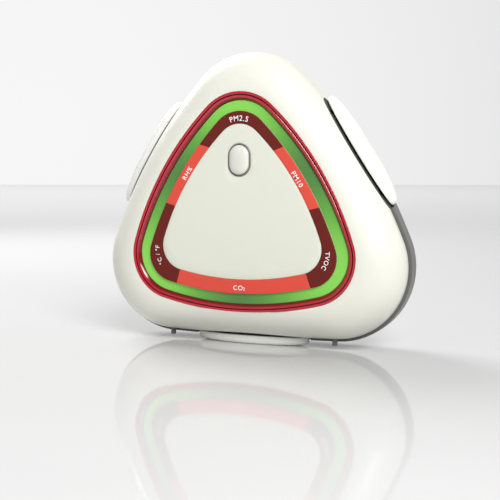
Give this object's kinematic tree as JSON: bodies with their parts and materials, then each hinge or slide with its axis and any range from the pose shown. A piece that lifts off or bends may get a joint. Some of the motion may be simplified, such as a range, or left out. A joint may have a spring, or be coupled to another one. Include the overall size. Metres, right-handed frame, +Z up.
{
  "type": "air quality monitor",
  "caption": "Tabletop air quality monitor: rounded-triangle white casing, red and green ringed dial with a mode button, domed vent covers and a grey rear shell.",
  "frame": {"origin": "on the table under the middle of the monitor, at the bottom centre of its bounding box", "axes": "+Z up, front with the dial facing -Y, +X to the right seen from the front"},
  "size_m": [0.1392, 0.0322, 0.1243],
  "materials": {
    "white_shell": "satin gloss",
    "grey_shell": "fine satin",
    "red_trim": "high gloss",
    "green_light": "translucent satin",
    "cream_panel": "satin",
    "dark_tile": "satin",
    "bright_tile": "satin",
    "bezel_grey": "satin",
    "button_white": "gloss",
    "cover_white": "satin gloss",
    "grille_black": "matte",
    "filter_foam": "open foam",
    "peg_grey": "matte",
    "black_plastic": "matte",
    "circuit_board": "solder mask",
    "led_lens": "clear moulding",
    "ribbon": "film",
    "sensor_steel": "tinned",
    "sensor_gold": "plated",
    "battery_wrap": "shrink wrap",
    "case_grey": "matte",
    "screw_steel": "zinc plated"
  },
  "bodies": {
    "casing": {"base_cover": "cover_white", "battery": "battery_wrap", "battery_cradle": "black_plastic", "board_screws": "screw_steel", "button_bezel": "bezel_grey", "button_switch": "sensor_steel", "buzzer": "black_plastic", "co2_sensor": "sensor_gold", "dust_filter_base": "filter_foam", "dust_filter_left": "filter_foam", "dust_filter_right": "filter_foam", "fan_axle": "screw_steel", "foot_pegs": "peg_grey", "frame_screws": "screw_steel", "front_panel": "cream_panel", "front_shell": "white_shell", "humidity_sensor": "black_plastic", "inner_frame": "black_plastic", "label_tile_co2": "bright_tile", "label_tile_humidity": "bright_tile", "label_tile_pm10": "bright_tile", "label_tile_pm25": "dark_tile", "label_tile_temperature": "dark_tile", "label_tile_tvoc": "dark_tile", "laser_module": "sensor_gold", "led_board": "circuit_board", "light_ring": "green_light", "main_board": "circuit_board", "panel_ribbon": "ribbon", "particle_case": "case_grey", "particle_lid": "case_grey", "power_board": "circuit_board", "rear_shell": "grey_shell", "ring_leds": "led_lens", "shell_screws": "screw_steel", "trim_ring": "red_trim", "tvoc_sensor": "sensor_steel", "usb_port": "screw_steel", "vent_cover_left": "cover_white", "vent_cover_right": "cover_white", "vent_grille_base": "grille_black", "vent_grille_left": "grille_black", "vent_grille_right": "grille_black", "wireless_module": "sensor_steel"},
    "button": {"mode_button": "button_white", "switch_plunger": "black_plastic"},
    "fan": {"fan_rotor": "black_plastic"}
  },
  "joints": [
    {"name": "button_press", "type": "slide", "parent": "casing", "child": "button", "axis": [0, 1, 0], "range_m": [0, 0.0008], "stiffness_N_per_m": 600, "springref_m": -0.0004},
    {"name": "fan_spin", "type": "hinge", "parent": "casing", "child": "fan", "pos_m": [0.008, 0, 0.06428], "axis": [0, 1, 0], "continuous": true}
  ]
}
